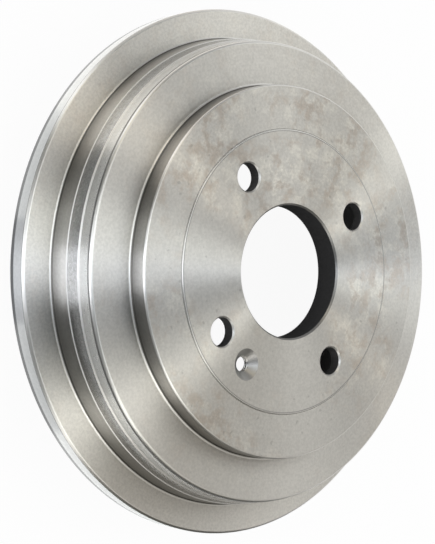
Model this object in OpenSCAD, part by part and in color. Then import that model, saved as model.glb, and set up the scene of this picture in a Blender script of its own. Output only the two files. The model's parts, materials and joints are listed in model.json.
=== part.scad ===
// Rear brake drum, cast iron, turned all over, in millimetres.
// It lies on its open rim: Z = 0 is the rim, the axis is Z and the wheel face looks up.

/* [Wheel face] */
// Diameter of the raised pad that the wheel seats on
pad_d = 131; // [124:0.5:150]
// Height of the pad over the plain ring around it
pad_rise = 0.5; // [0.3:0.1:2]
// Thickness of the hub plate, measured at the pad
plate_t = 5.7; // [4.5:0.1:8]
// Diameter of the hub, which stands up from the shoulder
hub_d = 172.4; // [160:0.2:184]
// Height of the hub over the shoulder, up to the plain ring
hub_rise = 9.3; // [8:0.1:14]
// Thickness of the hub's round side wall
hub_wall = 6.5; // [5:0.1:8]

/* [Centre bore] */
// Diameter of the bore that centres on the axle
bore_d = 61.6; // [56:0.1:66]
// Chamfer at both ends of the bore
bore_chamfer = 0.8; // [0.4:0.1:1.5]
// Outer diameter of the collar behind the hub plate
collar_d = 77; // [74:0.5:80]
// Length of the bore from the wheel face to the collar's end
collar_l = 13; // [10.5:0.1:16]

/* [Bolt holes] */
// Number of wheel stud holes
stud_count = 4; // [3:1:6]
// Pitch circle diameter of the stud holes
stud_pcd = 100; // [98:0.5:110]
// Diameter of a stud hole
stud_d = 13; // [11:0.1:15]
// Chamfer at the mouth of a stud hole
stud_chamfer = 0.7; // [0.3:0.1:1.2]
// Pitch circle diameter of the retaining screw's hole
screw_pcd = 100; // [98:0.5:106]
// Angle from the third stud hole to the retaining screw's hole
screw_turn = 24; // [22:0.5:36]
// Core diameter of the retaining screw's tapped hole
screw_d = 6.8; // [5:0.1:8.5]
// Diameter of the countersink at the wheel face
sink_d = 14.4; // [12:0.1:15]
// Full angle of the countersink
sink_angle = 100; // [90:1:120]

/* [Outer wall] */
// Diameter of the shoulder's edge, at the top of the wall
shoulder_d = 214.4; // [209:0.2:216]
// Height of the upper band of the wall
upper_h = 7; // [5:0.1:12]
// Diameter of the upper band at its foot
upper_foot_d = 215.2; // [212:0.2:216.6]
// Height of the bevelled step under the upper band
step_h = 1; // [0.5:0.1:2]
// Diameter of the middle band at its top, under the step
middle_top_d = 216.8; // [216.6:0.2:219]
// Height of the middle band
middle_h = 5; // [3:0.1:8]
// Diameter where the middle band meets the lower band
middle_foot_d = 219.6; // [217:0.2:221]
// Height of the lower band, down to the flange's front face
lower_h = 10.3; // [7:0.1:14]
// Diameter of the lower band at its foot
foot_d = 221.4; // [219:0.2:226]
// Thickness of the web that joins the wall to the hub
web_t = 6; // [4.5:0.1:8]

/* [Flange] */
// Diameter of the flange
flange_d = 249.6; // [240:0.2:260]
// Thickness of the flange
flange_t = 9.9; // [7:0.1:12]
// Chamfer on the flange's front edge
flange_chamfer = 1.2; // [0.4:0.1:2]
// Radius at the flange's root, where its front face meets the wall
flange_root = 1.3; // [1:0.1:4]

/* [Open rim] */
// Length of the wall behind the flange
rim_l = 24; // [12:0.5:30]
// Outer diameter of the wall behind the flange
rim_d = 220; // [215:0.5:224]
// Chamfer on the rim's outer edge
rim_chamfer = 1.5; // [0.5:0.1:2.5]

/* [Brake surface] */
// Diameter of the surface that the shoes rub on
brake_d = 203.2; // [200:0.1:205]
// Chamfer at the mouth of the brake surface
brake_chamfer = 1; // [0.5:0.1:2.5]
// Depth of the relief groove past the brake surface
relief_depth = 0.8; // [0.4:0.1:1.5]
// Width of the relief groove
relief_w = 3; // [2:0.1:5]
// Height of the plain corner between the relief groove and the web
corner_h = 4.2; // [3.8:0.1:7]
// Radial step from the brake surface in to the plain corner
corner_step = 2.1; // [0.5:0.1:4]

/* [Rounded edges] */
// Radius at the hub's root and at the wall's root behind the flange
hub_round = 1.5; // [1:0.1:3]
// Radius on the edge of the hub's face
face_round = 1.2; // [0.5:0.1:2]
// Radius on the shoulder's edge
shoulder_round = 1.3; // [0.5:0.1:2]
// Radius in the cast corners inside the drum
cast_round = 3; // [1.5:0.1:3.5]
// Radius on the turned edges inside the drum
edge_round = 1; // [0.5:0.1:1.5]

/* [Hidden] */
$fn = 240;
arc_steps = 6;
past = 1;

// Heights, added up from the rim
flange_front_z = rim_l + flange_t;
middle_foot_z = flange_front_z + lower_h;
middle_top_z = middle_foot_z + middle_h;
upper_foot_z = middle_top_z + step_h;
shoulder_z = upper_foot_z + upper_h;
ring_z = shoulder_z + hub_rise;
face_z = ring_z + pad_rise;
plate_z = face_z - plate_t;
collar_z = face_z - collar_l;
web_z = shoulder_z - web_t;
relief_top_z = web_z - corner_h;
brake_top_z = relief_top_z - relief_w;

// Radii
hub_r = hub_d / 2;
hub_inner_r = hub_r - hub_wall;
bore_r = bore_d / 2;
brake_r = brake_d / 2;
corner_r = brake_r - corner_step;
sink_depth = (sink_d - screw_d) / 2 / tan(sink_angle / 2);
stud_step = 360 / stud_count;
first_stud = 45;

function unit(v) = v / norm(v);

// Points that replace corner b of the outline a, b, c.
// The third number of b rounds the corner by that radius, or chamfers it if it is negative.
function corner(a, b, c) =
    let (
        size = b[2],
        at = [b[0], b[1]],
        back = unit([a[0] - b[0], a[1] - b[1]]),
        on = unit([c[0] - b[0], c[1] - b[1]]),
        half = acos(back * on) / 2,
        middle = at + unit(back + on) * size / sin(half),
        from = at + back * size / tan(half) - middle,
        to = at + on * size / tan(half) - middle,
        start = atan2(from[1], from[0]),
        turn = atan2(from[0] * to[1] - from[1] * to[0], from * to)
    )
    size == 0 ? [at]
    : size < 0 ? [at - back * size, at - on * size]
    : [for (i = [0:arc_steps])
        middle + size * [cos(start + turn * i / arc_steps), sin(start + turn * i / arc_steps)]];

function rounded(outline) =
    let (n = len(outline))
    [for (i = [0:n - 1]) each corner(outline[(i + n - 1) % n], outline[i], outline[(i + 1) % n])];

// Outside of the drum, from the open rim up to the bore: radius, height, corner size
function outside() = [
    [rim_d / 2, 0, -rim_chamfer],
    [rim_d / 2, rim_l, hub_round],
    [flange_d / 2, rim_l, -flange_chamfer / 2],
    [flange_d / 2, flange_front_z, -flange_chamfer],
    [foot_d / 2, flange_front_z, flange_root],
    [middle_foot_d / 2, middle_foot_z, 0],
    [middle_top_d / 2, middle_top_z, 0],
    [upper_foot_d / 2, upper_foot_z, 0],
    [shoulder_d / 2, shoulder_z, shoulder_round],
    [hub_r, shoulder_z, hub_round],
    [hub_r, ring_z, face_round],
    [pad_d / 2, ring_z, 0],
    [pad_d / 2, face_z, 0],
    [bore_r, face_z, -bore_chamfer],
];

// Inside of the drum, from the collar's end back down to the rim
function inside() = [
    [bore_r, collar_z, -bore_chamfer],
    [collar_d / 2, collar_z, edge_round],
    [collar_d / 2, plate_z, cast_round],
    [hub_inner_r, plate_z, cast_round],
    [hub_inner_r, web_z, edge_round],
    [corner_r, web_z, cast_round],
    [corner_r, relief_top_z, 0],
    [brake_r + relief_depth, relief_top_z, 0],
    [brake_r + relief_depth, brake_top_z, 0],
    [brake_r, brake_top_z, 0],
    [brake_r, 0, -brake_chamfer],
];

module turned_body() {
    rotate_extrude()
        polygon(rounded(concat(outside(), inside())));
}

// Stud hole with its chamfered mouth, standing on the hub plate's inner face
module stud_hole() {
    translate([0, 0, plate_z - past])
        cylinder(h = plate_t + 2 * past, d = stud_d);
    translate([0, 0, face_z - stud_chamfer])
        cylinder(h = stud_chamfer + past, d1 = stud_d, d2 = stud_d + 2 * (stud_chamfer + past));
}

// Tapping hole and countersink for the screw that holds the drum to the axle
module screw_hole() {
    translate([0, 0, plate_z - past])
        cylinder(h = plate_t + 2 * past, d = screw_d);
    translate([0, 0, face_z - sink_depth])
        cylinder(h = sink_depth + past, d1 = screw_d, d2 = sink_d + 2 * past * tan(sink_angle / 2));
}

module brake_drum() {
    color([0.68, 0.68, 0.66])
        difference() {
            turned_body();
            for (i = [0:stud_count - 1])
                rotate([0, 0, first_stud + i * stud_step])
                    translate([stud_pcd / 2, 0, 0])
                        stud_hole();
            rotate([0, 0, first_stud + 2 * stud_step + screw_turn])
                translate([screw_pcd / 2, 0, 0])
                    screw_hole();
        }
}

brake_drum();
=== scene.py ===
import json
from math import atan2, cos, degrees, pi, radians, sin, sqrt, tan

import bpy
import bmesh
from mathutils import Matrix, Vector


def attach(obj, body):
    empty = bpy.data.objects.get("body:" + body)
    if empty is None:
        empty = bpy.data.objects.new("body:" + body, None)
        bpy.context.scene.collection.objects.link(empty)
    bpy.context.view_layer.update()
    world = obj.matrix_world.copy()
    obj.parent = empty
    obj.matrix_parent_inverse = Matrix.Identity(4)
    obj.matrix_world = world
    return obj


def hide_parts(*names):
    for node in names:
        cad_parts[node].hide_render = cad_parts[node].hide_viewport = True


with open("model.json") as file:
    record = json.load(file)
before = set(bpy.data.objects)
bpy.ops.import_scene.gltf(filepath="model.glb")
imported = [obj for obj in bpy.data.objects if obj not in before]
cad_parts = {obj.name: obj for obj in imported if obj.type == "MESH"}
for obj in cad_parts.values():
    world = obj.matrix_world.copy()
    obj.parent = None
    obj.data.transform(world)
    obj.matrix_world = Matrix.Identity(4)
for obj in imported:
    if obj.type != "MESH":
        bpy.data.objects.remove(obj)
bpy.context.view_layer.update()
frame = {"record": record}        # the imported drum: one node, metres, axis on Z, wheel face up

mm = 0.001

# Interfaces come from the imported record, so the holes stay where the frame has them
mounts = {mount["name"]: mount for mount in frame["record"]["mounts"]}
studPitchRadius = mounts["wheel_studs"]["dims"]["pcd_mm"] / 2
studHoleRadius = mounts["wheel_studs"]["dims"]["hole_r_mm"]
studCount = mounts["wheel_studs"]["dims"]["count"]
boreRadius = mounts["centre_bore"]["dims"]["r_mm"]
brakeRadius = mounts["brake_surface"]["dims"]["r_mm"]
coreRadius = mounts["screw_hole"]["dims"]["r_mm"]
screwX, screwY = (value / mm for value in mounts["screw_hole"]["pos_m"][:2])
faceZ = mounts["wheel_face"]["pos_m"][2] / mm
plateZ = mounts["hub_seat"]["pos_m"][2] / mm


# Camera

cameraSetup = {
    "at": (-420.2, -95.0, 497.2),      # mm, in the drum's frame
    "looksAt": (-44.3, -10.3, 67.0),
    "roll": 90.30,                     # degrees, so that the drum stands upright in the picture
    "lens": 87.25,
    "nearClip": 0.01,                  # metres
}


def addCamera(setup):
    data = bpy.data.cameras.new("camera")
    data.lens = setup["lens"]
    data.clip_start = setup["nearClip"]
    camera = bpy.data.objects.new("camera", data)
    bpy.context.scene.collection.objects.link(camera)
    at = Vector(setup["at"]) * mm
    sight = Vector(setup["looksAt"]) * mm - at
    turn = sight.to_track_quat("-Z", "Y").to_matrix().to_4x4()
    camera.matrix_world = Matrix.Translation(at) @ turn @ Matrix.Rotation(radians(setup["roll"]), 4, "Z")
    bpy.context.scene.camera = camera


addCamera(cameraSetup)
cameraAzimuth = degrees(atan2(cameraSetup["at"][1], cameraSetup["at"][0]))
print("camera set")


# Drum body: an outline in mm, rounded corner by corner and spun round the axle axis

drumShape = {
    "rimRadius": 110.0, "rimChamfer": 1.5, "mouthChamfer": 1.0, "wallRound": 1.5,
    "flangeRadius": 124.8, "flangeBack": 24.0, "flangeFront": 33.9,
    "rearChamfer": 0.6, "flangeChamfer": 1.0,
    "chamferFoot": 0.2, "chamferTop": 0.8,     # how soft the two ends of the flange's chamfer are
    # The dark bands at the flange rim's rear edge and under the rounds and chamfer at the front are painted
    # shade; these give their widths
    "rearStrip": 2.7, "frontStrip": 0.35,      # dark bands at the flange rim's edges
    "rootRound": 1.3, "footRadius": 110.7,
    "middleFootRadius": 109.8, "middleFoot": 44.2, "middleTopRadius": 108.4, "middleTop": 49.2,
    "upperFootRadius": 107.6, "upperFoot": 50.2,
    "ledge": 0.45,                             # how far the middle band stands back at its foot
    "ledgeOuter": 0.7, "ledgeInner": 0.5,      # how far under middleFoot the ledge's edges lie
    "stepOver": 0.5, "stepRoot": 0.1,          # how far up the step's foot is moved, and its top outward
    "stepBreak": 0.1,                          # round on the edges of the ledge and the step
    "shoulderRadius": 107.2, "shoulder": 57.2, "shoulderRound": 1.7,
    "hubRadius": 86.2, "hubRound": 1.4, "faceRound": 1.1,
    "ring": 66.5, "padRadius": 65.5, "padRound": 0.4, "padSlope": 0.1, "padRoot": 0.1,
    # The two dark lines at the pad's edge are painted shade; these give their widths outside and inside the
    # edge
    "padLine": 0.4, "padStrip": 0.8,           # dark lines outside and inside the pad's edge
    "boreChamfer": 0.8, "collarRadius": 38.5, "collarEnd": 54.0, "turnedRound": 1.0,
    "hubInnerRadius": 79.7, "web": 51.2, "cornerRadius": 99.5, "castRound": 3.0,
    "reliefRadius": 102.4, "reliefTop": 47.0, "brakeTop": 44.0,
    "edgeBreak": 0.25,                         # burr knocked off the turned edges inside
    "spinSteps": 360,
}

studHole = {"firstAngle": 45, "chamfer": 0.7, "chamferFoot": 0.15, "steps": 96}

# "threadInner" is how far inside the core the thread's cutter reaches, "leadIn" how many pitches
# under the plate it starts, and "threadWidth" half its width there as a share of the pitch
screwHole = {"sinkRadius": 7.2, "sinkAngle": 100, "threadRadius": 4.0, "threadInner": 0.4,
             "pitch": 1.25, "leadIn": 2, "threadWidth": 0.45, "steps": 48}

past = 1.0         # mm by which a cutter stands past the metal
weld = 1e-7        # metres within which the thread's points are one


def drumOutline(shape):
    # radius, height, corner size in mm, segments: 1 makes a chamfer, more make a round
    broken = (shape["edgeBreak"], 2)
    chamferLow = shape["flangeFront"] - shape["flangeChamfer"]
    return [
        (shape["rimRadius"], 0, shape["rimChamfer"], 1),
        (shape["rimRadius"], shape["flangeBack"], shape["wallRound"], 6),
        (shape["flangeRadius"], shape["flangeBack"], shape["rearChamfer"], 1),
        (shape["flangeRadius"], shape["flangeBack"] + shape["rearStrip"], 0, 0),
        (shape["flangeRadius"], chamferLow - shape["frontStrip"], 0, 0),
        (shape["flangeRadius"], chamferLow, shape["chamferFoot"], 2),
        (shape["flangeRadius"] - shape["flangeChamfer"], shape["flangeFront"], shape["chamferTop"], 5),
        (shape["footRadius"], shape["flangeFront"], shape["rootRound"], 8),
        (shape["middleFootRadius"], shape["middleFoot"] - shape["ledgeOuter"], shape["stepBreak"], 2),
        (shape["middleFootRadius"] - shape["ledge"], shape["middleFoot"] - shape["ledgeInner"], 0, 0),
        (shape["middleTopRadius"], shape["middleTop"] + shape["stepOver"], shape["stepBreak"], 2),
        (shape["upperFootRadius"] + shape["stepRoot"], shape["upperFoot"], 0, 0),
        (shape["shoulderRadius"], shape["shoulder"] - shape["shoulderRound"] - shape["frontStrip"], 0, 0),
        (shape["shoulderRadius"], shape["shoulder"], shape["shoulderRound"], 8),
        (shape["hubRadius"], shape["shoulder"], shape["hubRound"], 8),
        (shape["hubRadius"], shape["ring"], shape["faceRound"], 6),
        (shape["padRadius"] + shape["padLine"], shape["ring"], 0, 0),
        (shape["padRadius"] + shape["padSlope"], shape["ring"], shape["padRoot"], 2),
        (shape["padRadius"], faceZ, shape["padRound"], 4),
        (shape["padRadius"] - shape["padStrip"], faceZ, 0, 0),
        (boreRadius, faceZ, shape["boreChamfer"], 1),
        (boreRadius, shape["collarEnd"], shape["boreChamfer"], 1),
        (shape["collarRadius"], shape["collarEnd"], shape["turnedRound"], 4),
        (shape["collarRadius"], plateZ, shape["castRound"], 6),
        (shape["hubInnerRadius"], plateZ, shape["castRound"], 6),
        (shape["hubInnerRadius"], shape["web"], shape["turnedRound"], 4),
        (shape["cornerRadius"], shape["web"], shape["castRound"], 6),
        (shape["cornerRadius"], shape["reliefTop"], *broken),
        (shape["reliefRadius"], shape["reliefTop"], 0, 0),
        (shape["reliefRadius"], shape["brakeTop"], 0, 0),
        (brakeRadius, shape["brakeTop"], *broken),
        (brakeRadius, 0, shape["mouthChamfer"], 1),
    ]


def drawLine(mesh, points, closed=False):
    corners = [mesh.verts.new((radius * mm, 0, height * mm)) for radius, height in points]
    ends = corners[1:] + corners[:1] if closed else corners[1:]
    for start, end in zip(corners, ends):
        mesh.edges.new((start, end))
    return corners


def drawOutline(mesh, outline):
    corners = drawLine(mesh, [(radius, height) for radius, height, *_ in outline], closed=True)
    for corner, (_, _, size, segments) in zip(corners, outline):
        if size:
            back, on = [(edge.other_vert(corner).co - corner.co).normalized() for edge in corner.link_edges]
            reach = size if segments == 1 else size / tan(back.angle(on) / 2)
            bmesh.ops.bevel(mesh, geom=[corner, *corner.link_edges], offset=reach * mm, offset_type="OFFSET",
                            segments=segments, profile=0.5, affect="VERTICES", material=-1)


def spin(mesh, parts, angle, steps, rise=0.0, closed=False):
    bmesh.ops.spin(mesh, geom=parts, axis=(0, 0, 1), cent=(0, 0, 0), dvec=(0, 0, rise), angle=angle,
                   steps=steps, use_merge=closed, use_duplicate=False, use_normal_flip=False)


def finishMesh(name, mesh):
    data = bpy.data.meshes.new(name)
    mesh.to_mesh(data)
    mesh.free()
    made = bpy.data.objects.new(name, data)
    bpy.context.scene.collection.objects.link(made)
    return made


def makeTurned(name, outline, steps, at=(0, 0)):
    mesh = bmesh.new()
    drawOutline(mesh, outline)
    spin(mesh, mesh.verts[:] + mesh.edges[:], 2 * pi, steps, closed=True)
    bmesh.ops.recalc_face_normals(mesh, faces=mesh.faces[:])
    bmesh.ops.translate(mesh, vec=(at[0] * mm, at[1] * mm, 0), verts=mesh.verts[:])
    return finishMesh(name, mesh)


def cutAway(body, cutters):
    for cutter in cutters:
        cut = body.modifiers.new(cutter.name, "BOOLEAN")
        cut.operation = "DIFFERENCE"
        cut.solver = "EXACT"
        cut.object = cutter
    bpy.context.view_layer.update()
    seen = body.evaluated_get(bpy.context.evaluated_depsgraph_get())
    cutMesh = bpy.data.meshes.new_from_object(seen)
    body.modifiers.clear()
    body.data = cutMesh
    for cutter in cutters:
        bpy.data.objects.remove(cutter)


def makeStudCutter(number):
    angle = radians(studHole["firstAngle"]) + number * 2 * pi / studCount
    chamfer = studHole["chamfer"]
    outline = [
        (0, plateZ - past, 0, 0),
        (studHoleRadius, plateZ - past, 0, 0),
        (studHoleRadius, faceZ - chamfer, studHole["chamferFoot"], 2),
        (studHoleRadius + chamfer + past, faceZ + past, 0, 0),
        (0, faceZ + past, 0, 0),
    ]
    at = studPitchRadius * cos(angle), studPitchRadius * sin(angle)
    return makeTurned(f"studCutter{number}", outline, studHole["steps"], at)


def makeScrewCutter():
    slope = tan(radians(screwHole["sinkAngle"] / 2))
    sinkDepth = (screwHole["sinkRadius"] - coreRadius) / slope
    outline = [
        (0, plateZ - past, 0, 0),
        (coreRadius, plateZ - past, 0, 0),
        (coreRadius, faceZ - sinkDepth, 0, 0),
        (screwHole["sinkRadius"] + past * slope, faceZ + past, 0, 0),
        (0, faceZ + past, 0, 0),
    ]
    return makeTurned("screwCutter", outline, studHole["steps"], (screwX, screwY))


def makeThreadCutter():
    # A sharp V that climbs one pitch a turn, from under the plate into the countersink
    pitch, outer = screwHole["pitch"], screwHole["threadRadius"]
    inner = coreRadius - screwHole["threadInner"]
    low = plateZ - screwHole["leadIn"] * pitch
    turns = int((faceZ - low) / pitch)
    halfWidth = pitch * screwHole["threadWidth"]
    section = [(inner, low - halfWidth), (outer, low), (inner, low + halfWidth)]
    mesh = bmesh.new()
    start = mesh.faces.new([mesh.verts.new((radius * mm, 0, height * mm)) for radius, height in section])
    spin(mesh, [start, *start.edges, *start.verts], 2 * pi * turns, screwHole["steps"] * turns,
         rise=pitch * mm / screwHole["steps"])
    bmesh.ops.remove_doubles(mesh, verts=mesh.verts[:], dist=weld)
    bmesh.ops.recalc_face_normals(mesh, faces=mesh.faces[:])
    bmesh.ops.translate(mesh, vec=(screwX * mm, screwY * mm, 0), verts=mesh.verts[:])
    return finishMesh("threadCutter", mesh)


body = makeTurned("drumBody", drumOutline(drumShape), drumShape["spinSteps"])
cutters = [makeStudCutter(number) for number in range(studCount)]
cutAway(body, [*cutters, makeScrewCutter()])
cutAway(body, [makeThreadCutter()])
print("drum turned and drilled:", len(body.data.polygons), "faces")


# Zones: each face is given a finish by where it lies on the drum

# Lengths in mm, then the part of a face's normal that points up. A face is inside the drum where that
# part, or the part that points outward, is under "inside".
zoneLimits = {
    "holeReach": 11, "boreReach": 1, "sinkDepth": 2.8,
    "faceSkin": 0.01, "padSkin": 0.05, "turnedSkin": 0.1,
    "ledgeBelow": 1, "ledgeAbove": 0.1, "rootReach": 1, "rootRise": 0.7,
    "hubSkin": 0.5, "bandSkin": 0.4,
    "flat": 0.985, "holeSide": 0.9, "rootSlope": 0.75, "sinkSlope": 0.5, "slope": 0.38, "mouthSlope": 0.2,
    "inside": -0.3,
}


def chooseFlat(radius, height):
    shape, limit = drumShape, zoneLimits
    # The dark line just inside the pad's edge is painted shade
    if height > faceZ - limit["padSkin"] and radius > shape["padRadius"] - shape["padStrip"]:
        return "padLine"
    # At the pad's foot, a thin strip gets the dark painted shade of a step's root
    if height > shape["ring"] - limit["turnedSkin"]:
        return "rootCorner" if 0 < radius - shape["padRadius"] < shape["padLine"] else "wheelFace"
    return "shoulderFace" if height > shape["shoulder"] - limit["turnedSkin"] else "flangeFace"


def chooseBand(radius, height):
    shape, limit = drumShape, zoneLimits
    if radius < shape["hubRadius"] + limit["hubSkin"]:
        return "hubSide"
    # The strip under the shoulder's round gets a dark painted shade line
    if height > shape["shoulder"] - shape["shoulderRound"] - shape["frontStrip"]:
        return "edgeLine"
    if height > shape["upperFoot"]:
        return "upperBand"
    if height > shape["middleFoot"] - limit["bandSkin"]:
        return "middleBand"
    if height > shape["flangeFront"]:
        return "lowerBand"
    onFlange = radius > shape["footRadius"]
    # The strip under the flange's chamfer gets the same dark painted shade line
    if onFlange and height > shape["flangeFront"] - shape["flangeChamfer"] - shape["frontStrip"]:
        return "edgeLine"
    # The rear edge of the flange rim gets a dark painted shade band
    return "rimStrip" if onFlange and height < shape["flangeBack"] + shape["rearStrip"] else "flangeRim"


def atRoot(radius, height):
    shape, limit = drumShape, zoneLimits
    roots = ((shape["hubRadius"], shape["shoulder"], shape["hubRound"]),
             (shape["footRadius"], shape["flangeFront"], shape["rootRound"]))
    for wall, foot, rounding in roots:
        beside = 0 < radius - wall + limit["rootReach"] < rounding + limit["rootReach"]
        if beside and 0 < height - foot < rounding + limit["rootRise"]:
            return True
    return False


def chooseFinish(centre, normal):
    shape, limit, slope = drumShape, zoneLimits, normal.z
    radius, height = sqrt(centre.x ** 2 + centre.y ** 2) / mm, centre.z / mm
    outward = (normal.x * centre.x + normal.y * centre.y) / (radius * mm)
    nearStuds = studPitchRadius - limit["holeReach"] < radius < studPitchRadius + limit["holeReach"]
    if nearStuds and plateZ < height < faceZ - limit["faceSkin"]:
        fromScrew = sqrt((centre.x / mm - screwX) ** 2 + (centre.y / mm - screwY) ** 2)
        if fromScrew < screwHole["sinkRadius"]:
            sunk = slope > limit["sinkSlope"] and height > faceZ - limit["sinkDepth"]
            return "sinkWall" if sunk else "threadWall"
        if abs(slope) < limit["holeSide"]:
            return "holeEdge" if slope > limit["mouthSlope"] else "holeWall"
    if radius < boreRadius + limit["boreReach"]:
        return "boreEdge" if slope > limit["mouthSlope"] else "boreWall"
    if slope < limit["inside"] or outward < limit["inside"]:
        rubbed = radius > shape["cornerRadius"] and height < shape["brakeTop"]
        return "brakeSurface" if rubbed else "castInside"
    if slope > limit["flat"]:
        return chooseFlat(radius, height)
    byLedge = shape["middleFoot"] - limit["ledgeBelow"] < height < shape["upperFoot"] + limit["ledgeAbove"]
    # The step between the bands gets a lighter colour, a painted highlight
    if byLedge and slope > limit["slope"]:
        return "ledge"
    # Concave rounds at the roots of the steps get a dark painted shade
    if slope < limit["rootSlope"] and atRoot(radius, height):
        return "rootCorner"
    return "brokenEdge" if slope > limit["slope"] else chooseBand(radius, height)


class Signal:
    # One output of a node; sums and products of signals add Math nodes behind it
    def __init__(self, tree, output=None):
        self.tree, self.output = tree, output

    def node(self, kind, settings=None, inputs=None, output=0):
        made = self.tree.nodes.new(kind)
        for name, value in (settings or {}).items():
            setattr(made, name, value)
        for name, value in (inputs or {}).items():
            if isinstance(value, Signal):
                self.tree.links.new(value.output, made.inputs[name])
            else:
                made.inputs[name].default_value = value
        return Signal(self.tree, made.outputs[output] if made.outputs else None)

    def maths(self, operation, *values):
        return self.node("ShaderNodeMath", {"operation": operation}, dict(enumerate(values)))

    def __add__(self, other):
        return self.maths("ADD", self, other)

    def __sub__(self, other):
        return self.maths("SUBTRACT", self, other)

    def __rsub__(self, other):
        return self.maths("SUBTRACT", other, self)

    def __mul__(self, other):
        return self.maths("MULTIPLY", self, other)

    __radd__, __rmul__ = __add__, __mul__

    def between(self, low, high):
        return self.node("ShaderNodeMapRange", {"interpolation_type": "SMOOTHSTEP"},
                         {"Value": self, "From Min": low, "From Max": high})


# "grain" is how far the turning marks stretch reflections, "rings" their depth in mm;
# "stain", "speck" and "pits" are strengths from 0 to 1; "shade" holds the heights in mm between which
# a band's painted shade fades out and the band brightens, from the root of the step up
ironFinish = {
    "wheelFace": {"colour": (0.590, 0.574, 0.541), "rough": 0.38, "grain": 1.0, "rings": 0.004,
                  "stain": 1.0, "speck": 0.22, "pits": 0.3},
    "shoulderFace": {"colour": (0.660, 0.642, 0.606), "rough": 0.39, "grain": 1.0, "rings": 0.003,
                     "stain": 0.25, "speck": 0.22, "pits": 0.1},
    "flangeFace": {"colour": (0.730, 0.710, 0.668), "rough": 0.38, "grain": 1.0, "rings": 0.003,
                   "stain": 0.25, "speck": 0.25, "pits": 0.1},
    # The hub side and the lower band carry painted shade, darker towards the root of their step
    "hubSide": {"colour": (0.475, 0.463, 0.440), "rough": 0.36, "grain": 1.0, "rings": 0.003,
                "stain": 0.15, "speck": 0.20, "pits": 0.0, "shade": (57.0, 64.0)},
    "upperBand": {"colour": (0.690, 0.680, 0.655), "rough": 0.28, "grain": 0.80, "rings": 0.003,
                  "stain": 0.15, "speck": 0.18, "pits": 0.0},
    "middleBand": {"colour": (0.520, 0.516, 0.505), "rough": 0.23, "grain": 0.90, "rings": 0.003,
                   "stain": 0.20, "speck": 0.40, "pits": 0.2},
    "lowerBand": {"colour": (0.510, 0.498, 0.472), "rough": 0.36, "grain": 1.0, "rings": 0.003,
                  "stain": 0.15, "speck": 0.20, "pits": 0.0, "shade": (33.0, 41.0)},
    "flangeRim": {"colour": (0.620, 0.620, 0.612), "rough": 0.42, "grain": 0.80, "rings": 0.003,
                  "stain": 0.10, "speck": 0.15, "pits": 0.0},
    # Painted shade: a dark band along the rear edge of the flange rim
    "rimStrip": {"colour": (0.200, 0.200, 0.198), "rough": 0.40, "grain": 0.50, "rings": 0.0,
                 "stain": 0.10, "speck": 0.10, "pits": 0.0},
    # Painted shade: dark lines under the flange's chamfer and under the shoulder's round
    "edgeLine": {"colour": (0.260, 0.255, 0.245), "rough": 0.40, "grain": 0.50, "rings": 0.0,
                 "stain": 0.0, "speck": 0.10, "pits": 0.0},
    # Painted shade: the concave rounds at the roots of the steps, and the pad's foot, are coloured dark
    # where shade falls in the corner
    "rootCorner": {"colour": (0.160, 0.154, 0.143), "rough": 0.36, "grain": 0.80, "rings": 0.0,
                   "stain": 0.0, "speck": 0.10, "pits": 0.0},
    # Painted highlight: the step between the bands is lighter than the bands round it, so that it shows as a
    # light line
    "ledge": {"colour": (0.860, 0.850, 0.830), "rough": 0.50, "grain": 0.80, "rings": 0.0,
              "stain": 0.0, "speck": 0.05, "pits": 0.0},
    "brokenEdge": {"colour": (0.720, 0.710, 0.685), "rough": 0.34, "grain": 0.60, "rings": 0.0,
                   "stain": 0.0, "speck": 0.0, "pits": 0.0},
    "boreEdge": {"colour": (0.300, 0.297, 0.290), "rough": 0.40, "grain": 0.60, "rings": 0.0,
                 "stain": 0.0, "speck": 0.10, "pits": 0.0},
    "holeEdge": {"colour": (0.680, 0.672, 0.650), "rough": 0.42, "grain": 0.0, "rings": 0.0,
                 "stain": 0.0, "speck": 0.0, "pits": 0.0},
    # Painted shade: a dark line on the pad just inside its edge
    "padLine": {"colour": (0.340, 0.332, 0.318), "rough": 0.34, "grain": 1.0, "rings": 0.0,
                "stain": 0.0, "speck": 0.0, "pits": 0.0},
    "castInside": {"colour": (0.100, 0.100, 0.100), "rough": 0.60, "grain": 0.0, "rings": 0.0,
                   "stain": 0.50, "speck": 0.30, "pits": 0.50},
    "brakeSurface": {"colour": (0.420, 0.420, 0.410), "rough": 0.38, "grain": 0.80, "rings": 0.006,
                     "stain": 0.20, "speck": 0.10, "pits": 0.0},
    "boreWall": {"colour": (0.046, 0.046, 0.047), "rough": 0.45, "grain": 0.0, "rings": 0.010,
                 "stain": 0.30, "speck": 0.40, "pits": 0.0},
    "holeWall": {"colour": (0.054, 0.054, 0.054), "rough": 0.45, "grain": 0.0, "rings": 0.010,
                 "stain": 0.30, "speck": 0.40, "pits": 0.0},
    "threadWall": {"colour": (0.620, 0.615, 0.600), "rough": 0.28, "grain": 0.0, "rings": 0.0,
                   "stain": 0.0, "speck": 0.0, "pits": 0.0},
    "sinkWall": {"colour": (0.430, 0.425, 0.415), "rough": 0.42, "grain": 0.0, "rings": 0.0,
                 "stain": 0.20, "speck": 0.10, "pits": 0.0},
}
finishes = list(ironFinish)

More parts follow.
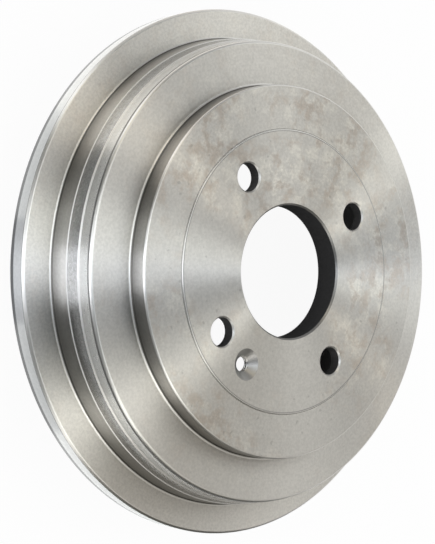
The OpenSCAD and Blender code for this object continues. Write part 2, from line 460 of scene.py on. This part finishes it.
# "limits" is where a noise starts to show and where it shows in full, "tint" what it does to the metal's
# red, green and blue; "climb" is how much height counts beside the radius; "handled" is where the stains
# are, and "lean" makes them grow along Y
ironMarks = {
    "turning": {"scale": 900.0, "detail": 3.0, "climb": 0.8, "strength": 0.5, "tint": (0.88, 0.88, 0.88)},
    "handled": {"seed": 1.0, "scale": 24.0, "detail": 2.0, "broken": 0.5, "limits": (0.38, 0.58),
                "lean": 0.9},
    "brown": {"seed": 2.0, "scale": 130.0, "detail": 6.0, "broken": 0.68, "limits": (0.47, 0.62),
              "tint": (0.93, 0.85, 0.79)},
    "cream": {"seed": 3.0, "scale": 100.0, "detail": 6.0, "broken": 0.68, "limits": (0.45, 0.62),
              "tint": (1.24, 1.23, 1.19), "cleanTint": (0.98, 0.98, 0.98)},
    "speck": {"seed": 4.0, "scale": 800.0, "detail": 3.0, "broken": 0.6, "limits": (0.35, 0.65),
              "tint": (0.5, 0.5, 0.5)},
    "pits": {"seed": 5.0, "scale": 430.0, "detail": 0.0, "broken": 0.5, "limits": (0.76, 0.82),
             "tint": (0.35, 0.35, 0.35)},
}

ironSurface = {
    # Painted shade: how far a band's colour is blended towards black at the root of its step
    "shadeDepth": 0.5,                           # how dark a shaded band is at its root
    "noiseMiddle": 0.5,
    "unevenRough": 0.06, "stainRough": 0.05,     # how far the marks change the roughness
    "speckDepth": 0.008, "bump": 0.6,
    "grainTurn": 0.25,                           # of a turn: the grain runs round the axle
    "bareFrom": 0.15,                            # colours darker than this are not bare metal
    "sharpAngle": 28,
}


def tint(colour, change):
    red, green, blue = (part * factor for part, factor in zip(colour, change))
    return (red, green, blue, 1)


def turnedIron(name, finish):
    marks, surface = ironMarks, ironSurface
    material = bpy.data.materials.new(name)
    material.use_nodes = True
    tree = material.node_tree
    shader = tree.nodes["Principled BSDF"]
    start = Signal(tree)
    place = start.node("ShaderNodeTexCoord", output="Object")
    split = start.node("ShaderNodeSeparateXYZ", inputs={"Vector": place})
    across, along, height = [Signal(tree, split.output.node.outputs[axis]) for axis in "XYZ"]
    radius = start.maths("SQRT", across * across + along * along)

    def cloud(mark):
        return start.node("ShaderNodeTexNoise", {"noise_dimensions": "4D"},
                          {"Vector": place, "W": mark["seed"], "Scale": mark["scale"],
                           "Detail": mark["detail"], "Roughness": mark["broken"]})

    def blend(factor, low, high):
        return start.node("ShaderNodeMix", {"data_type": "RGBA"}, {0: factor, 6: low, 7: high}, 2)

    # Turning marks follow the tool: they depend on radius and height alone
    turning, handling = marks["turning"], marks["handled"]
    travel = radius + height * turning["climb"]
    rings = start.node("ShaderNodeTexNoise", {"noise_dimensions": "1D"},
                       {"W": travel, "Scale": turning["scale"], "Detail": turning["detail"]})
    handled = (cloud(handling) + along * handling["lean"]).between(*handling["limits"])
    brown, cream = [cloud(marks[stain]).between(*marks[stain]["limits"]) * handled
                    for stain in ("brown", "cream")]
    speck = cloud(marks["speck"])
    pits = cloud(marks["pits"]).between(*marks["pits"]["limits"])

    base = finish["colour"]
    clean = tint(base, marks["cream"]["cleanTint"])
    creamy = blend(cream * finish["stain"], clean, tint(base, marks["cream"]["tint"]))
    browned = blend(brown * finish["stain"], creamy, tint(base, marks["brown"]["tint"]))
    ringed = blend(rings * turning["strength"], browned, tint(base, turning["tint"]))
    shownSpeck = speck.between(*marks["speck"]["limits"]) * finish["speck"]
    speckled = blend(shownSpeck, ringed, tint(base, marks["speck"]["tint"]))
    toned = blend(pits * finish["pits"], speckled, tint(base, marks["pits"]["tint"]))
    # Painted shade: near the root of the step the colour is blended towards black, fading out by the top
    # height
    if "shade" in finish:
        foot, top = finish["shade"]
        paintedShade = start.node("ShaderNodeMapRange",
                         inputs={"Value": height, "From Min": foot * mm, "From Max": top * mm,
                                 "To Min": surface["shadeDepth"], "To Max": 0.0})
        toned = blend(paintedShade, toned, (0, 0, 0, 1))
    tree.links.new(toned.output, shader.inputs["Base Color"])
    middle, uneven = surface["noiseMiddle"], surface["unevenRough"]
    roughness = finish["rough"] + (rings - middle) * uneven + (speck - middle) * uneven
    roughness = roughness + brown * (finish["stain"] * surface["stainRough"])
    tree.links.new(roughness.output, shader.inputs["Roughness"])
    shader.inputs["Metallic"].default_value = 1.0 if max(base) > surface["bareFrom"] else 0.0
    shader.inputs["Anisotropic"].default_value = finish["grain"]
    shader.inputs["Anisotropic Rotation"].default_value = surface["grainTurn"]
    relief = rings * finish["rings"] + speck * (finish["speck"] * surface["speckDepth"])
    bump = start.node("ShaderNodeBump",
                      inputs={"Strength": surface["bump"], "Distance": mm, "Height": relief})
    tree.links.new(bump.output, shader.inputs["Normal"])
    return material


def dressDrum(drum):
    for name in finishes:
        drum.data.materials.append(turnedIron(name, ironFinish[name]))
    for polygon in drum.data.polygons:
        polygon.material_index = finishes.index(chooseFinish(polygon.center, polygon.normal))
        polygon.use_smooth = True
    mesh = bmesh.new()
    mesh.from_mesh(drum.data)
    for edge in mesh.edges:
        edge.smooth = edge.calc_face_angle(0) < radians(ironSurface["sharpAngle"])
    mesh.to_mesh(drum.data)
    mesh.free()
    even = drum.modifiers.new("even normals", "WEIGHTED_NORMAL")
    even.mode = "FACE_AREA"
    even.keep_sharp = True


dressDrum(body)
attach(body, "root")
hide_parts("brake_drum")
print("finishes given:", len(finishes))


# Floor, world and lights

studioSetup = {
    "floorSize": 6.0, "floorDrop": 0.0002,     # metres
    "floorColour": (0.85, 0.85, 0.85),
    "floorGlow": 0.94,
    "worldShown": 1.0,
    "worldFill": 1.0,
}


def shownRays(start):
    # 1 where the background is seen straight, in a reflection or through glass
    path = start.node("ShaderNodeLightPath")
    seen, mirrored, through = [Signal(start.tree, path.output.node.outputs[f"Is {kind} Ray"])
                               for kind in ("Camera", "Glossy", "Transmission")]
    return start.maths("MAXIMUM", start.maths("MAXIMUM", seen, mirrored), through)


def startMaterial(thing, name):
    material = bpy.data.materials.new(name)
    material.use_nodes = True
    material.node_tree.nodes.clear()
    thing.data.materials.append(material)
    return Signal(material.node_tree)


def addFloor(setup):
    mesh = bmesh.new()
    bmesh.ops.create_grid(mesh, x_segments=1, y_segments=1, size=setup["floorSize"] / 2)
    bmesh.ops.translate(mesh, vec=(0, 0, -setup["floorDrop"]), verts=mesh.verts[:])
    floor = finishMesh("floor", mesh)
    start = startMaterial(floor, "paleFloor")
    shown = shownRays(start)
    lit = start.node("ShaderNodeBsdfDiffuse", inputs={"Color": (*setup["floorColour"], 1)})
    glow = start.node("ShaderNodeEmission", inputs={"Color": (1, 1, 1, 1), "Strength": 1.0})
    mixed = start.node("ShaderNodeMixShader", inputs={0: shown * setup["floorGlow"], 1: lit, 2: glow})
    start.node("ShaderNodeOutputMaterial", inputs={"Surface": mixed})


def addWorld(setup):
    world = bpy.data.worlds.new("studio")
    bpy.context.scene.world = world
    world.use_nodes = True
    world.node_tree.nodes.clear()
    start = Signal(world.node_tree)
    strength = shownRays(start) * (setup["worldShown"] - setup["worldFill"]) + setup["worldFill"]
    sky = start.node("ShaderNodeBackground", inputs={"Color": (1, 1, 1, 1), "Strength": strength})
    start.node("ShaderNodeOutputWorld", inputs={"Surface": sky})


# Studio panels and black flags that only reflections see, like soft boxes round a product table.
# "sides" is in degrees round the drum from the camera, positive towards the picture's foot; "rise" is
# in degrees over the table; "glow" is 1 for plain white.
panels = {
    "keyLow": {"sides": (-10, 10), "rise": (0, 20), "glow": (3.9, 4.0, 4.3)},
    "keyRise": {"sides": (-10, 10), "rise": (20, 35), "glow": (1.6, 1.65, 1.75)},
    "keyMiddle": {"sides": (-10, 8), "rise": (35, 55), "glow": (2.35, 2.45, 2.65)},
    "keyTop": {"sides": (-8, 8), "rise": (55, 75), "glow": (2.2, 2.4, 2.7)},
    "keyPeak": {"sides": (-8, 8), "rise": (75, 90), "glow": (1.3, 1.4, 1.55)},
    "backTop": {"sides": (170, 190), "rise": (60, 90), "glow": (1.5, 1.6, 1.75)},
    "stripRight": {"sides": (52, 64), "rise": (30, 45), "glow": (2.2, 2.2, 2.1)},
    "sideLow": {"sides": (-25, -10), "rise": (0, 35), "glow": (1.35, 1.4, 1.4)},
    "sideMiddle": {"sides": (-25, -10), "rise": (35, 55), "glow": (0.15, 0.15, 0.15)},
    "sideHigh": {"sides": (-42, -8), "rise": (55, 75), "glow": (2.9, 3.0, 2.95)},
    "flagLeft": {"sides": (-52, -25), "rise": (0, 35), "glow": (0.13, 0.14, 0.13)},
    "flagLeftUp": {"sides": (-60, -42), "rise": (35, 75), "glow": (0.02, 0.02, 0.02)},
    "stripLeft": {"sides": (-75, -52), "rise": (0, 35), "glow": (1.6, 1.65, 1.7)},
    "warmHigh": {"sides": (-88, -60), "rise": (35, 55), "glow": (1.6, 1.35, 0.9)},
    "greyLeft": {"sides": (-130, -75), "rise": (0, 35), "glow": (0.5, 0.5, 0.5)},
    "flagFarLeft": {"sides": (-130, -88), "rise": (35, 55), "glow": (0.02, 0.02, 0.02)},
    "flagRight": {"sides": (10, 52), "rise": (0, 45), "glow": (0.27, 0.28, 0.28)},
    "flagRightUp": {"sides": (8, 64), "rise": (45, 75), "glow": (0.02, 0.02, 0.02)},
    "warmLow": {"sides": (52, 66), "rise": (0, 30), "glow": (1.55, 1.55, 1.5)},
    "warmLowUp": {"sides": (64, 77), "rise": (30, 58), "glow": (3.4, 3.3, 3.1)},
    "warmLowTop": {"sides": (77, 130), "rise": (58, 75), "glow": (2.35, 2.4, 2.3)},
    "darkLow": {"sides": (66, 130), "rise": (0, 30), "glow": (0.06, 0.06, 0.05)},
    "greyLow": {"sides": (77, 130), "rise": (30, 58), "glow": (0.62, 0.59, 0.53)},
    "farRight": {"sides": (130, 180), "rise": (0, 60), "glow": (0.67, 0.65, 0.62)},
    "farLeftLow": {"sides": (-180, -130), "rise": (0, 26), "glow": (0.8, 0.8, 0.78)},
    "farLeft": {"sides": (-180, -130), "rise": (26, 60), "glow": (1.46, 1.48, 1.46)},
    "topRight": {"sides": (8, 170), "rise": (75, 90), "glow": (0.4, 0.45, 0.5)},
    "topLeft": {"sides": (-170, -8), "rise": (75, 90), "glow": (1.75, 1.8, 1.75)},
}

# What the table shows to reflections: "reach" is in mm from the axis. The card that is "seen" is a painted
# shadow, a near-black sheet on the floor under the drum's wall that also keeps the white floor out of the
# camera's sight through the holes.
tableCards = {
    "nearKey": {"sides": (-12, 12), "reach": (126, 158), "glow": (0.68, 0.7, 0.74)},
    "nextKey": {"sides": (-12, 12), "reach": (158, 190), "glow": (0.38, 0.4, 0.42)},
    "nearRight": {"sides": (12, 40), "reach": (126, 170), "glow": (1.5, 1.54, 1.56)},
    "farNearRight": {"sides": (40, 130), "reach": (126, 170), "glow": (2.3, 2.34, 2.34)},
    "nearLeft": {"sides": (-40, -12), "reach": (126, 160), "glow": (1.66, 1.7, 1.72)},
    "farNearLeft": {"sides": (-130, -40), "reach": (126, 160), "glow": (2.1, 2.12, 2.12)},
    "nextRight": {"sides": (12, 130), "reach": (170, 250), "glow": (0.02, 0.02, 0.02)},
    "nextLeft": {"sides": (-40, -12), "reach": (160, 250), "glow": (0.35, 0.36, 0.36)},
    "farNextLeft": {"sides": (-130, -40), "reach": (160, 250), "glow": (1.35, 1.35, 1.3)},
    "nearFar": {"sides": (130, 230), "reach": (126, 250), "glow": (0.8, 0.8, 0.8)},
    "tableKey": {"sides": (-7, 10), "reach": (190, 1500), "glow": (2.8, 2.9, 3.05)},
    "tableRight": {"sides": (12, 130), "reach": (250, 1500), "glow": (0.08, 0.08, 0.08)},
    "tableFar": {"sides": (130, 250), "reach": (250, 1500), "glow": (1.0, 1.0, 1.0)},
    "tableHigh": {"sides": (-110, -40), "reach": (250, 1500), "glow": (1.48, 1.38, 1.28)},
    "tableLeft": {"sides": (-40, -8), "reach": (250, 1500), "glow": (0.02, 0.02, 0.02)},
    # Painted shade: a near-black sheet on the floor inside the drum, seen only in reflections
    "insideDrum": {"sides": (0, 360), "reach": (0, 92), "glow": (0.02, 0.02, 0.02)},
    # Painted shadow: a near-black sheet the camera sees on the floor under the drum's wall
    "innerShade": {"sides": (100, 260), "reach": (92, 105), "glow": (0.008, 0.008, 0.008), "seen": True},
}

# "distance" is in mm from the axis, "lift" over the rim's plane
panelSetup = {"distance": 1500, "lift": -0.1, "riseSteps": 6, "turnSteps": 96}


def addPanel(name, glow, outline, sides, seen=False):
    mesh = bmesh.new()
    drawLine(mesh, outline)
    turn = Matrix.Rotation(radians(cameraAzimuth + sides[0]), 3, "Z")
    bmesh.ops.rotate(mesh, verts=mesh.verts[:], cent=(0, 0, 0), matrix=turn)
    width = sides[1] - sides[0]
    spin(mesh, mesh.verts[:] + mesh.edges[:], radians(width), panelSetup["turnSteps"], closed=width == 360)
    made = finishMesh(name, mesh)
    start = startMaterial(made, name)
    shine = start.node("ShaderNodeEmission", inputs={"Color": (*glow, 1), "Strength": 1.0})
    start.node("ShaderNodeOutputMaterial", inputs={"Surface": shine})
    made.visible_shadow = made.visible_diffuse = False
    made.visible_camera = seen


def addPanels():
    distance, lift, steps = panelSetup["distance"], panelSetup["lift"], panelSetup["riseSteps"]
    for name, panel in panels.items():
        low, high = (radians(angle) for angle in panel["rise"])
        arc = [low + (high - low) * step / steps for step in range(steps + 1)]
        outline = [(distance * cos(angle), distance * sin(angle) + lift) for angle in arc]
        addPanel(name, panel["glow"], outline, panel["sides"])
    for name, card in tableCards.items():
        flat = [(radius, lift) for radius in card["reach"]]
        addPanel(name, card["glow"], flat, card["sides"], card.get("seen", False))


addFloor(studioSetup)
addWorld(studioSetup)
addPanels()
bpy.context.scene.view_settings.view_transform = "Standard"
print("studio lit")
